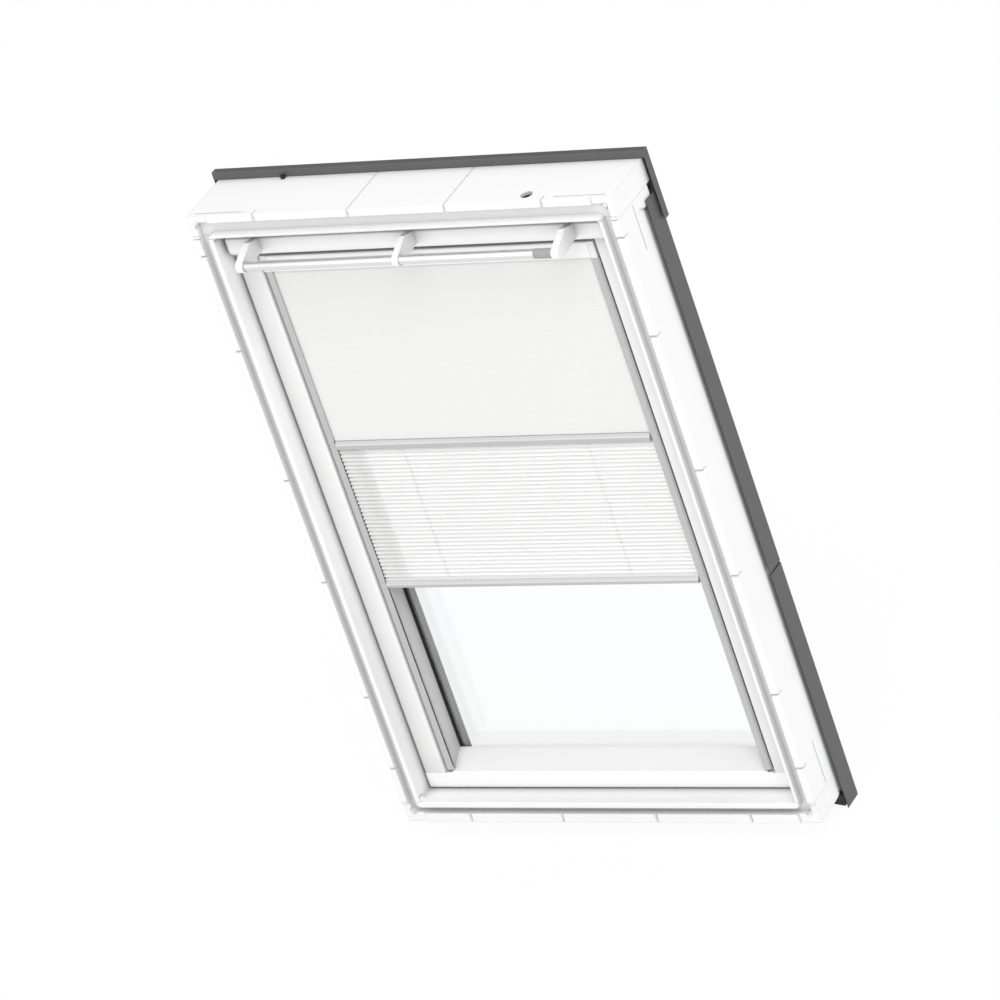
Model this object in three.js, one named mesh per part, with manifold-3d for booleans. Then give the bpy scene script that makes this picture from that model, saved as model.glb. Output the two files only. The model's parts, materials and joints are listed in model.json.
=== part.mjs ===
// Centre-pivot roof window with a two-part blind, in millimetres.
// +X is right seen from the room, +Y is towards the weather, +Z is up along the window.
// Sections are drawn with Y = 0 on the frame's room face; the finished group is then moved
// back by half the frame's depth, so that its origin is the middle of the frame's lower face.
import * as THREE from 'three';
import { mergeVertices } from 'three/addons/utils/BufferGeometryUtils.js';
import Module from 'manifold-3d';

const wasm = await Module();
wasm.setup();

// Overall sizes of the frame
const frameWidth = 780;
const frameHeight = 1178;
const frameDepth = 110;
const headExtraDepth = 12;

// Lining groove and its two walls, on the side, head and sill members
const lipWidth = 12;
const sillLip = 18;
const sideGroove = 16;
const headGroove = 22.5;
const sillGroove = 12;
const sideNose = 7;
const headNose = 7;
const sillNose = 10;
const grooveDepth = 14;
const grooveCorner = 9;
const noseRound = 3;
const noseCorner = 8;
const lipRound = 2;

// Moulded tabs along the outer lip
const notchWidth = 6;
const notchDepth = 5;
const tickWidth = 1.2;
const tickDepth = 0.8;
const tickLength = 16;
const cornerBlock = 37;
const cornerDrop = 4;
const headNotchShares = [-0.34, -0.114, 0.114, 0.34];
const sideNotchShares = [0.0914, 0.2128, 0.4065, 0.5751, 0.7855, 0.9373];

// Rounded shoulder of the frame's outside, where the flashing seats
const shoulderRun = 38;
const shoulderBackDepth = 21;
const shoulderInset = 6;
const shoulderEndDrop = 56;
const shoulderEndRise = 26;

// Slits and sockets of the outside faces
const slitWidth = 1.5;
const slitDepth = 3;
const headSlitPlace = 11;
const headSlitInset = 13;
const headSlitLength = 92;
const sideSlitPlace = 52.5;
const sideSlitLength = 80;
const cableHoleInset = 159;
const cableHoleY = 22;
const cableHoleRadius = 10;
const cableHoleDepth = 16;
const grommetWall = 2;
const grommetHeight = 10;
const plugInset = 126;
const plugRadius = 4;
const plugHeight = 5;

// Clearances
const seat = 0.3;
const sashGap = 5;
const sillGap = 2.5;
const over = 5;

// Sash
const sashDepth = 74;
const sashProud = 2;
const sashFaceWidth = 37.5;
const sashRound = 5;
const ledgeDepth = 10;
const ledgeSlope = 3.5;
const sightInset = 14.5;
const sillRail = 31;
const sillSlopeRise = 21.5;
const sillSlopeLip = 2;
const headRail = 46;
const headLap = 3.5;
const headStep = 12;
const glassMargin = 18;
const sillGlassMargin = 35;
const rebateMargin = 2.5;

// Insulating glass unit and its seals
const paneThickness = 4;
const paneGap = 16;
const spacerInset = 8;
const spacerShow = 7;
const spacerFootDrop = 15.5;
const glazingSealThickness = 4;
const glazingSealShow = 4;
const headSealShow = 2;
const sillSealDrop = 3;
const glazingSealWidth = 14;
const stripThickness = 2;
const stripOverlap = 12;

// Weather seal in the gap between frame and sash
const sealInset = 16;
const sealWidth = 6;
const sealPlay = 1;
const sideSealPlay = 2.5;

// Pivot hinges
const pivotRise = 6;
const pivotInset = 12;
const pivotTravelClear = 170;
const coverJointGap = 3;
const pivotPlateHeight = 150;
const pivotPlateDepth = 36;
const pivotPlateReach = 28;
const pivotPlateThickness = 1.5;
const pinRadius = 6;
const pinLength = 11;
const pinPlay = 0.5;

// Aluminium covers
const coverProud = 16.5;
const coverSheet = 1.5;
const coverOverhang = 1.3;
const coverEdgeRound = 1;
const upperCoverDrop = 60;
const coverDrop = 31;
const bottomCoverInset = 20;
const bottomCoverSlope = 32;
const dripReturn = 30;
const hoodRise = 14;
const hoodSkirt = 110;
const hoodLap = 5;
const hoodSheet = 1.5;
const hoodOverhang = 8;
const hoodGap = 0.8;
const cornerSealTop = -3;
const cornerSealRise = 7;
const cornerSealReach = 5;
const cornerSealLength = 12;
const cornerSealWidth = 25;

// Ventilation flap, its brackets and the control bar
const flapRaise = 2;
const flapTopGap = 2.5;
const flapDepth = 30;
const flapEndGap = 0.8;
const flapBackRound = 7.7;
const flapSole = 2;
const flapShoulder = 10;
const flapShoulderDrop = 6;
const flapShoulderRound = 4;
const flapLipRise = 5;
const flapLipRound = 12;
const flapPinRadius = 2.5;
const flapPinLength = 3.6;
const lugThickness = 3.2;
const lugPlay = 0.3;
const lugReach = 16;
const lugHeight = 22;
const barReach = 56;
const barRise = 17.9;
const barRadius = 8;
const barInset = 56;
const barPlay = 0.3;
const bracketHead = 10.5;
const endBracketThickness = 13;
const middleBracketThickness = 11;
const bracketTopInset = 5;
const bracketBottomInset = 13.5;
const bracketCrestReach = 24.7;
const bracketCrestRise = 0.5;
const bracketCrestRound = 3;

// Lock at the head of the sash
const lockHalfWidth = 40;
const lockInset = 16;
const lockDepth = 24;
const lockHeight = 18.2;
const lockRecess = 0.5;
const latchHalfWidth = 12;
const latchDepth = 8;
const latchLength = 17;
const latchReach = 3.5;
const latchTravel = 8;
const latchPlay = 0.4;
const strikerHalfWidth = 25;
const strikerThickness = 1.5;
const strikerMargin = 6;
const strikerPocket = 6;

// Air filter in the head of the sash
const filterInset = 16;
const filterRise = 10;
const filterHeight = 12;
const filterDepth = 18;

// Blind: casing, roller and side rails
const fabricSetback = 5;
const casingSetback = 0.5;
const casingBackGap = 2;
const casingHeight = 30;
const casingGap = 2.5;
const casingWall = 1.5;
const casingRound = 3;
const casingSlot = 5;
const capThickness = 1.6;
const capMargin = 0.3;
const rollPlay = 1.55;
const clothBuildUp = 2.7;
const tubePinRadius = 4;
const railSetback = 1;
const railSlot = 3.4;
const railSlotDepth = 11.5;
const railChamfer = 3;
const railMargin = 1;
const fabricTuck = 1.5;
const fabricThickness = 0.6;

// Blind: the two bars, their guides, the pleats and their cords
const blackoutDrop = 323.5;
const blackoutBarHeight = 15;
const pleatDrop = 256;
const pleatedBarHeight = 12;
const barFrontReach = 7;
const barBackReach = 6;
const barNose = 5;
const barRound = 1.5;
const barEndGap = 1.5;
const barStep = 4;
const guideHead = 0.9;
const guideThickness = 2.6;
const guideReach = 12;
const guideInset = 1.5;
const pleatPitch = 7.5;
const pleatDepth = 8.6;
const pleatThickness = 1.2;
const cordInset = 121;
const cordRadius = 0.7;
const cordHole = 3;

// Widths worked out from the sizes above
const halfWidth = frameWidth / 2;
const openingHalf = halfWidth - lipWidth - sideGroove - sideNose;
const sashHalf = openingHalf - sashGap;
const ridgeX = sashHalf - sashFaceWidth;
const ledgeX = ridgeX - ledgeSlope;
const sightX = ridgeX - sightInset;
const paneHalf = sightX + glassMargin;
const filterHalfWidth = paneHalf - filterInset;
const flapHalf = sashHalf - lugThickness - flapEndGap;
const barEnd = flapHalf - barInset;
const fabricHalf = sightX - capMargin - capThickness - 2 * seat;
const railInner = fabricHalf - fabricTuck;
const barHalf = railInner - barEndGap;
const cordX = barHalf - cordInset;
const coverOuter = halfWidth + coverOverhang + coverSheet;

// Depths worked out from the sizes above
const headDepth = frameDepth + headExtraDepth;
const shoulderSeat = frameDepth - shoulderBackDepth;
const shoulderStart = shoulderSeat - shoulderRun;
const sashBack = frameDepth + sashProud;
const sashFace = sashBack - sashDepth;
const ledgeFace = sashFace + ledgeDepth;
const headFace = sashFace + headStep;
const shelfDepth = sashBack - paneGap - 2 * paneThickness - glazingSealThickness;
const innerPaneFace = shelfDepth + glazingSealThickness;
const spacerFace = innerPaneFace + paneThickness;
const outerPaneFace = spacerFace + paneGap;
const sealPlace = sashFace + sealInset;
const pivotDepth = sashBack - pivotInset;
const coverDepth = sashBack + coverProud;
const hoodFront = headDepth - hoodLap;
const flapFront = headFace - flapDepth;
const barDepth = flapFront - barReach;
const lockBack = sashBack - lockInset;
const lockFront = lockBack - lockDepth;
const latchFront = (lockFront + lockBack - latchDepth) / 2;
const latchBack = latchFront + latchDepth;
const filterBack = headFace + filterDepth;
const fabricPlane = sashFace + fabricSetback;
const casingFront = sashFace + casingSetback;
const casingBack = shelfDepth - casingBackGap;
const railFront = sashFace + railSetback;
const railBack = ledgeFace - seat;
const barFront = fabricPlane - barFrontReach;
const barBack = fabricPlane + barBackReach;

// Heights worked out from the sizes above
const openingBottom = sillLip + sillGroove + sillNose;
const openingTop = frameHeight - lipWidth - headGroove - headNose;
const sashBottom = openingBottom + sillGap;
const sashTop = openingTop - sashGap;
const sillFaceTop = sashBottom + sillRail;
const sillSlopeTop = sillFaceTop + sillSlopeRise;
const headJoint = sashTop - headRail;
const headSight = headJoint - headLap;
const paneBottom = sillSlopeTop - sillGlassMargin;
const paneTop = headSight + glassMargin;
const pivotHeight = frameHeight / 2 + pivotRise;
const coverJoint = pivotHeight - pivotTravelClear;
const upperCoverTop = frameHeight - upperCoverDrop;
const shoulderTop = frameHeight - shoulderEndDrop;
const bottomCoverTop = sillSlopeTop - bottomCoverInset;
const hoodTop = frameHeight + hoodRise;
const hoodBottom = frameHeight - hoodSkirt;
const flapBottom = headJoint + flapRaise;
const flapTop = sashTop - flapTopGap;
const barHeight = flapBottom + barRise;
const lockTop = sashTop - lockRecess;
const lockBottom = lockTop - lockHeight;
const latchTop = openingTop + latchReach;
const latchBottom = latchTop - latchLength;
const filterBottom = headJoint + filterRise;
const filterTop = filterBottom + filterHeight;
const casingTop = headSight - casingGap;
const casingBottom = casingTop - casingHeight;
const blackoutBarBottom = casingBottom - blackoutDrop - blackoutBarHeight;
const pleatedBarBottom = blackoutBarBottom - pleatDrop - pleatedBarHeight;
const arcSteps = 5;
const roundSides = 24;

// Colours and finishes
const whiteMoulding = { color: 0xf3f3f2, roughness: 0.45, metalness: 0 };
const whiteLacquer = { color: 0xeeeeec, roughness: 0.35, metalness: 0 };
const greyCladding = { color: 0x69696b, roughness: 0.5, metalness: 0.3 };
const satinAluminium = { color: 0xd9d9d7, roughness: 0.35, metalness: 0.8 };
const darkRubber = { color: 0x1d1d1f, roughness: 0.8, metalness: 0 };
const greyPlastic = { color: 0x8e9092, roughness: 0.6, metalness: 0 };
const clearGlass = { color: 0xe8f2f2, roughness: 0.02, metalness: 0 };
const spacerMetal = { color: 0x9c9fa1, roughness: 0.4, metalness: 0.7 };
const zincSteel = { color: 0xb4b6b8, roughness: 0.4, metalness: 0.9 };
const blackoutCloth = { color: 0xeeeeeb, roughness: 0.9, metalness: 0 };
const pleatedCloth = { color: 0xf7f7f3, roughness: 0.9, metalness: 0 };
const filterFoam = { color: 0xc9c9c4, roughness: 1, metalness: 0 };

const roofWindow = new THREE.Group();
roofWindow.position.y = -frameDepth / 2;

// A solid that can be cut and joined, from a closed geometry
function solid(geometry) {
  geometry.deleteAttribute('normal');
  geometry.deleteAttribute('uv');
  const merged = mergeVertices(geometry);
  return new wasm.Manifold(new wasm.Mesh({
    numProp: 3,
    vertProperties: new Float32Array(merged.attributes.position.array),
    triVerts: new Uint32Array(merged.index.array),
  }));
}

function addPiece(name, body, finish) {
  const data = body.getMesh();
  const geometry = new THREE.BufferGeometry();
  geometry.setAttribute('position', new THREE.BufferAttribute(data.vertProperties, data.numProp));
  geometry.setIndex(new THREE.BufferAttribute(data.triVerts, 1));
  geometry.computeVertexNormals();
  const piece = new THREE.Mesh(geometry, new THREE.MeshStandardMaterial(finish));
  piece.name = name;
  roofWindow.add(piece);
}

function box(x0, x1, y0, y1, z0, z1) {
  const geometry = new THREE.BoxGeometry(Math.abs(x1 - x0), Math.abs(y1 - y0), Math.abs(z1 - z0));
  geometry.translate((x0 + x1) / 2, (y0 + y1) / 2, (z0 + z1) / 2);
  return solid(geometry);
}

// An outline of corners [a, b, radius]; a corner with a radius becomes an arc
function outline(corners) {
  const points = [];
  corners.forEach(([a, b, radius = 0], index) => {
    const here = new THREE.Vector2(a, b);
    if (radius === 0) {
      points.push(here);
      return;
    }
    const last = corners.at(index - 1);
    const next = corners[(index + 1) % corners.length];
    const before = new THREE.Vector2(last[0], last[1]).sub(here);
    const after = new THREE.Vector2(next[0], next[1]).sub(here);
    const half = Math.acos(before.clone().normalize().dot(after.clone().normalize())) / 2;
    const room = Math.min(before.length() / (last[2] ? 2 : 1), after.length() / (next[2] ? 2 : 1));
    const reach = Math.min(radius / Math.tan(half), room);
    const middle = before.clone().normalize().add(after.clone().normalize()).normalize();
    const centre = here.clone().addScaledVector(middle, reach / Math.cos(half));
    const start = here.clone().addScaledVector(before.normalize(), reach).sub(centre);
    const end = here.clone().addScaledVector(after.normalize(), reach).sub(centre);
    const sweep = Math.atan2(start.cross(end), start.dot(end));
    for (let step = 0; step <= arcSteps; step += 1) {
      points.push(start.clone().rotateAround(new THREE.Vector2(), sweep * step / arcSteps).add(centre));
    }
  });
  return points;
}

function extrude(points, length, place, holes = []) {
  const shape = new THREE.Shape(THREE.ShapeUtils.isClockWise(points) ? points.toReversed() : points);
  shape.holes = holes.map((hole) => new THREE.Path(hole));
  const geometry = new THREE.ExtrudeGeometry(shape, { depth: length, bevelEnabled: false });
  geometry.applyMatrix4(place);
  return geometry;
}

// A section of [y, z] corners drawn along X
function alongX(corners, x0, x1) {
  const place = new THREE.Matrix4().makeBasis(
    new THREE.Vector3(0, 1, 0), new THREE.Vector3(0, 0, 1), new THREE.Vector3(1, 0, 0));
  place.setPosition(Math.min(x0, x1), 0, 0);
  return solid(extrude(outline(corners), Math.abs(x1 - x0), place));
}

// A section of [x, z] corners drawn along Y, with openings if any
function alongY(corners, y0, y1, openings = []) {
  const place = new THREE.Matrix4().makeBasis(
    new THREE.Vector3(0, 0, 1), new THREE.Vector3(1, 0, 0), new THREE.Vector3(0, 1, 0));
  place.setPosition(0, y0, 0);
  const swap = (points) => outline(points).map((point) => new THREE.Vector2(point.y, point.x));
  return solid(extrude(swap(corners), y1 - y0, place, openings.map(swap)));
}

// A section of [x, y] corners drawn along Z
function alongZ(corners, z0, z1) {
  return solid(extrude(outline(corners), z1 - z0, new THREE.Matrix4().makeTranslation(0, 0, z0)));
}

// A round bar or hole along X, Y or Z
function round(axis, radius, from, to, a, b, sides = roundSides) {
  const geometry = new THREE.CylinderGeometry(radius, radius, Math.abs(to - from), sides);
  const middle = (from + to) / 2;
  if (axis === 'x') geometry.rotateZ(Math.PI / 2).translate(middle, a, b);
  if (axis === 'y') geometry.translate(a, middle, b);
  if (axis === 'z') geometry.rotateX(Math.PI / 2).translate(a, b, middle);
  return solid(geometry);
}

// A rectangle of [x, z] corners, even about X = 0, with one corner radius
function rectangle(half, bottom, top, radius = 0) {
  return [[-half, bottom, radius], [half, bottom, radius], [half, top, radius], [-half, top, radius]];
}

// Frame members: the four share one groove, one row of tabs and one shoulder

// What is cut from the outside of one side: an elliptical shoulder with a rounded upper end
function shoulderCut(side) {
  const inset = halfWidth - shoulderInset;
  const points = [[side * halfWidth, shoulderStart]];
  for (let step = 1; step <= arcSteps + 1; step += 1) {
    const angle = (Math.PI / 2) * step / (arcSteps + 1);
    points.push([
      side * (inset + shoulderInset * Math.cos(angle)),
      shoulderStart + (shoulderSeat - shoulderStart) * Math.sin(angle),
    ]);
  }
  points.push([side * inset, headDepth + over], [side * (halfWidth + over), headDepth + over]);
  points.push([side * (halfWidth + over), shoulderStart]);
  const length = shoulderTop + over;
  const place = new THREE.Matrix4().makeTranslation(0, 0, -over);
  const geometry = extrude(outline(points), length, place);
  const position = geometry.attributes.position;
  for (let index = 0; index < position.count; index += 1) {
    const back = (shoulderSeat - position.getY(index)) / (shoulderSeat - shoulderStart);
    const drop = shoulderEndRise * (1 - Math.sqrt(1 - Math.min(Math.max(back, 0), 1) ** 2));
    if (position.getZ(index) > 0) position.setZ(index, shoulderTop - drop);
  }
  return solid(geometry);
}

const cableHoleX = halfWidth - cableHoleInset;
const groove = alongY(
  rectangle(halfWidth - lipWidth, sillLip, frameHeight - lipWidth, grooveCorner),
  -over,
  grooveDepth,
  [rectangle(openingHalf + sideNose, openingBottom - sillNose, openingTop + headNose, grooveCorner)],
);

const notchMouth = (notchWidth / 2) * (notchDepth + over) / notchDepth;

// A pointed notch across the lip at one place, with the mould line that runs on from it
function headNotch(x, level, outward, run) {
  const lip = level > openingTop ? lipWidth : sillLip;
  const cut = [[x - notchMouth, -over], [x, notchDepth], [x + notchMouth, -over]];
  const inner = level - outward * (lip + over);
  const line = alongZ(
    [[x - tickWidth / 2, 0], [x + tickWidth / 2, 0], [x + tickWidth / 2, run], [x - tickWidth / 2, run]],
    Math.min(level - outward * tickDepth, level + outward * over),
    Math.max(level - outward * tickDepth, level + outward * over),
  );
  return alongZ(cut, Math.min(inner, level + outward * over), Math.max(inner, level + outward * over)).add(line);
}

function sideNotch(side, z) {
  const cut = [[-over, z - notchMouth], [notchDepth, z], [-over, z + notchMouth]];
  const line = box(
    side * (halfWidth - tickDepth), side * (halfWidth + over), 0, tickLength, z - tickWidth / 2, z + tickWidth / 2);
  return alongX(cut, side * (halfWidth - lipWidth - over), side * (halfWidth + over)).add(line);
}

function cornerCut(side, level, inward) {
  const reach = level + inward * cornerBlock;
  const outer = level - inward * over;
  const grooveEdge = halfWidth - lipWidth;
  return box(side * (halfWidth - cornerBlock), side * (halfWidth + over), -over, cornerDrop,
    Math.min(reach, outer), Math.max(reach, outer)).subtract(
    box(-grooveEdge, grooveEdge, -over, cornerDrop, sillLip, frameHeight - lipWidth));
}

// The rounded inner corner of the nose
function noseCornerFill(side, level, inward) {
  const corner = new THREE.Vector2(side * openingHalf, level);
  const points = [[corner.x, corner.y], [corner.x - side * noseCorner, corner.y]];
  for (let step = 1; step < arcSteps; step += 1) {
    const angle = (Math.PI / 2) * step / arcSteps;
    points.push([
      corner.x - side * noseCorner * (1 - Math.sin(angle)),
      corner.y + inward * noseCorner * (1 - Math.cos(angle)),
    ]);
  }
  points.push([corner.x, corner.y + inward * noseCorner]);
  return alongY(points, noseRound, grooveDepth);
}

function frameSide(side) {
  let body = alongZ([
    [side * openingHalf, 0, noseRound],
    [side * halfWidth, 0, lipRound],
    [side * halfWidth, frameDepth],
    [side * openingHalf, frameDepth],
  ], openingBottom, openingTop);
  body = body.subtract(groove).subtract(shoulderCut(side));
  for (const share of sideNotchShares) body = body.subtract(sideNotch(side, share * frameHeight));
  const pinHole = pinRadius + pinPlay;
  body = body.subtract(round('x', pinHole, side * (openingHalf - over), side * (openingHalf + pinLength),
    pivotDepth, pivotHeight));
  for (const bottom of [openingBottom + over, openingTop - over - sideSlitLength]) {
    body = body.subtract(box(side * (halfWidth - slitDepth), side * (halfWidth + over),
      sideSlitPlace, sideSlitPlace + slitWidth, bottom, bottom + sideSlitLength));
  }
  return body;
}

function frameHead() {
  let body = alongX([
    [0, openingTop, noseRound],
    [headDepth, openingTop],
    [headDepth, frameHeight],
    [0, frameHeight, lipRound],
  ], -halfWidth, halfWidth);
  body = body.add(noseCornerFill(1, openingTop, -1)).add(noseCornerFill(-1, openingTop, -1));
  body = body.subtract(groove);
  const longRun = headDepth - over;
  headNotchShares.forEach((share, index) => {
    const run = index === 1 || index === 2 ? longRun : tickLength;
    body = body.subtract(headNotch(share * frameWidth, frameHeight, 1, run));
  });
  for (const side of [-1, 1]) {
    body = body.subtract(cornerCut(side, frameHeight, -1));
    body = body.subtract(box(side * (halfWidth - headSlitInset - headSlitLength), side * (halfWidth - headSlitInset),
      headSlitPlace, headSlitPlace + slitWidth, frameHeight - slitDepth, frameHeight + over));
  }
  body = body.subtract(round('z', cableHoleRadius, frameHeight - cableHoleDepth, frameHeight + over,
    cableHoleX, cableHoleY));
  const pocketHalf = latchHalfWidth + strikerMargin / 2;
  body = body.subtract(box(-pocketHalf, pocketHalf, latchFront - strikerMargin / 2, latchBack + strikerMargin / 2,
    openingTop - over, openingTop + strikerPocket));
  return body;
}

function frameSill() {
  const recess = sealPlace - over;
  let body = alongX([
    [0, 0, lipRound],
    [frameDepth, 0],
    [frameDepth, openingBottom],
    [0, openingBottom, noseRound],
  ], -halfWidth, halfWidth);
  body = body.subtract(alongX([
    [recess - over, openingBottom],
    [recess + over, openingBottom - sashGap],
    [frameDepth + over, openingBottom - sashGap],
    [frameDepth + over, openingBottom + over],
    [recess - over, openingBottom + over],
  ], -openingHalf, openingHalf));
  body = body.add(noseCornerFill(1, openingBottom, 1)).add(noseCornerFill(-1, openingBottom, 1));
  body = body.subtract(groove);
  for (const share of headNotchShares) {
    body = body.subtract(headNotch(share * frameWidth, 0, -1, tickLength));
  }
  for (const side of [-1, 1]) {
    body = body.subtract(cornerCut(side, 0, 1)).subtract(shoulderCut(side));
  }
  return body;
}

addPiece('frame_top', frameHead(), whiteMoulding);
addPiece('frame_bottom', frameSill(), whiteMoulding);
addPiece('frame_left', frameSide(-1), whiteMoulding);
addPiece('frame_right', frameSide(1), whiteMoulding);

// Rubber sleeve of the cable hole and the plug under the hood
const grommetTop = frameHeight - cableHoleDepth + seat + grommetHeight;
addPiece('cable_grommet', round('z', cableHoleRadius - seat, frameHeight - cableHoleDepth + seat, grommetTop,
  cableHoleX, cableHoleY).subtract(round('z', cableHoleRadius - grommetWall,
  grommetTop - grommetHeight + grommetWall, grommetTop + over, cableHoleX, cableHoleY)), darkRubber);
addPiece('hood_plug', round('z', plugRadius, frameHeight + seat, frameHeight + seat + plugHeight,
  plugInset - halfWidth, hoodFront - seat - plugRadius, 12), darkRubber);

// Weather seal: a ring on the frame's reveal, clear of the sash as it turns
const sealThickness = sashGap - sealPlay;
const sideSealThickness = sashGap - sideSealPlay;
addPiece('frame_seal', alongY(
  rectangle(openingHalf - seat, openingBottom - sashGap + seat, openingTop - seat),
  sealPlace,
  sealPlace + sealWidth,
  [rectangle(openingHalf - seat - sideSealThickness, openingBottom - sashGap + seat + sealThickness,
    openingTop - seat - sealThickness)],
), darkRubber);

// Aluminium hood over the head: a folded sheet with end plates
function hood() {
  const inner = halfWidth + hoodOverhang - hoodSheet;
  const back = coverDepth + hoodGap;
  let body = alongX([
    [hoodFront, frameHeight + seat],
    [hoodFront + hoodSheet, frameHeight + seat],
    [hoodFront + hoodSheet, hoodTop - hoodSheet],
    [back, hoodTop - hoodSheet],
    [back, hoodBottom],
    [back + hoodSheet, hoodBottom],
    [back + hoodSheet, hoodTop, hoodSheet],
    [hoodFront, hoodTop, hoodSheet],
  ], -inner, inner);
  for (const side of [-1, 1]) {
    body = body.add(alongX([
      [hoodFront, hoodBottom],
      [back + hoodSheet, hoodBottom],
      [back + hoodSheet, hoodTop, hoodSheet],
      [hoodFront, hoodTop, hoodSheet],
    ], side * inner, side * (inner + hoodSheet)));
  }
  return body;
}
addPiece('hood', hood(), greyCladding);

// Side covers: a channel whose outer flange reaches back over the shoulder
function sideCover(side, foot, innerEdge, bottom, top) {
  const sheet = coverSheet;
  return alongZ([
    [side * coverOuter, shoulderSeat],
    [side * coverOuter, coverDepth, coverEdgeRound],
    [side * innerEdge, coverDepth, coverEdgeRound],
    [side * innerEdge, foot],
    [side * (innerEdge + sheet), foot],
    [side * (innerEdge + sheet), coverDepth - sheet],
    [side * (coverOuter - sheet), coverDepth - sheet],
    [side * (coverOuter - sheet), shoulderSeat],
  ], bottom, top);
}

const stripBack = sashBack + seat + stripThickness;
for (const [side, hand] of [[-1, 'left'], [1, 'right']]) {
  addPiece(`upper_side_cover_${hand}`, sideCover(side, frameDepth + seat, openingHalf - seat,
    coverJoint, upperCoverTop), greyCladding);
  addPiece(`lower_side_cover_${hand}`, sideCover(side, stripBack + seat, ridgeX,
    -coverDrop, coverJoint - coverJointGap), greyCladding);
}

// Cover of the sash's lower edge, with its drip and the two rubber corners
addPiece('bottom_cover', alongX([
  [stripBack - stripThickness, bottomCoverTop],
  [stripBack - stripThickness + coverSheet, bottomCoverTop],
  [coverDepth, bottomCoverTop - bottomCoverSlope],
  [coverDepth, -coverDrop],
  [coverDepth - dripReturn, -coverDrop],
  [coverDepth - dripReturn, coverSheet - coverDrop],
  [coverDepth - coverSheet, coverSheet - coverDrop],
  [coverDepth - coverSheet, bottomCoverTop - bottomCoverSlope],
  [stripBack - stripThickness, bottomCoverTop - coverSheet],
], seat - ridgeX, ridgeX - seat), greyCladding);
for (const [side, hand] of [[-1, 'left'], [1, 'right']]) {
  const outer = coverOuter - coverSheet - seat;
  const front = shoulderSeat - cornerSealReach;
  addPiece(`corner_seal_${hand}`, alongZ([
    [side * outer, front],
    [side * outer, front + cornerSealLength],
    [side * (outer - cornerSealWidth), front + cornerSealLength],
    [side * (outer - cornerSealWidth), front + cornerSealLength / 2],
  ], cornerSealRise - coverDrop, cornerSealTop), darkRubber);
}

// Sash members: the sill carries the two stiles, the head closes them
function sashStile(side) {
  return alongZ([
    [side * sashHalf, sashFace, lipRound],
    [side * ridgeX, sashFace, sashRound],
    [side * ledgeX, ledgeFace],
    [side * sightX, ledgeFace],
    [side * sightX, shelfDepth],
    [side * (paneHalf + rebateMargin), shelfDepth],
    [side * (paneHalf + rebateMargin), sashBack],
    [side * sashHalf, sashBack],
  ], sillFaceTop, headJoint);
}

function sashSill() {
  let body = alongX([
    [sashFace, sashBottom, sashRound],
    [sashBack, sashBottom],
    [sashBack, sillFaceTop],
    [sashFace, sillFaceTop],
  ], -sashHalf, sashHalf);
  body = body.add(alongX([
    [sashFace + lipRound, sillFaceTop - lipRound],
    [sashFace + lipRound, sillFaceTop + sillSlopeLip, lipRound / 2],
    [shelfDepth, sillSlopeTop],
    [shelfDepth, sillFaceTop - lipRound],
  ], seat - sightX, sightX - seat));
  body = body.subtract(alongX([
    [sashFace - over, sillFaceTop - lipRound],
    [sashFace, sillFaceTop - lipRound],
    [sashFace + lipRound, sillFaceTop],
    [sashFace + lipRound, sillFaceTop + lipRound],
    [sashFace - over, sillFaceTop + lipRound],
  ], -ledgeX, ledgeX));
  return body.subtract(box(-paneHalf - rebateMargin, paneHalf + rebateMargin, shelfDepth, sashBack + over,
    paneBottom - rebateMargin, sillSlopeTop + over));
}

function sashHead() {
  let body = alongX([
    [headFace, headJoint],
    [sashBack, headJoint],
    [sashBack, sashTop],
    [headFace, sashTop],
  ], -sashHalf, sashHalf);
  body = body.add(box(seat - sightX, sightX - seat, headFace, shelfDepth, headSight, headJoint + over));
  body = body.subtract(box(-paneHalf - rebateMargin, paneHalf + rebateMargin, shelfDepth, sashBack + over,
    headSight - over, paneTop + rebateMargin));
  body = body.subtract(box(-filterHalfWidth, filterHalfWidth, headFace - over, filterBack, filterBottom, filterTop));
  body = body.subtract(box(-lockHalfWidth - seat, lockHalfWidth + seat, lockFront - seat, lockBack + seat,
    lockBottom - seat, sashTop + over));
  for (const side of [-1, 1]) {
    body = body.add(box(side * (sashHalf - lugThickness), side * sashHalf, headFace - lugReach, headFace + over,
      headJoint, headJoint + lugHeight));
    body = body.subtract(round('x', flapPinRadius + lugPlay, side * (sashHalf - lugThickness - over),
      side * (sashHalf + over), flapAxisY, flapAxisZ));
  }
  return body;
}

const flapAxisY = headFace - seat - flapBackRound;
const flapAxisZ = flapBottom + flapBackRound;
addPiece('sash_bottom', sashSill(), whiteLacquer);
addPiece('sash_left', sashStile(-1), whiteLacquer);
addPiece('sash_right', sashStile(1), whiteLacquer);
addPiece('sash_top', sashHead(), whiteLacquer);

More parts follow.
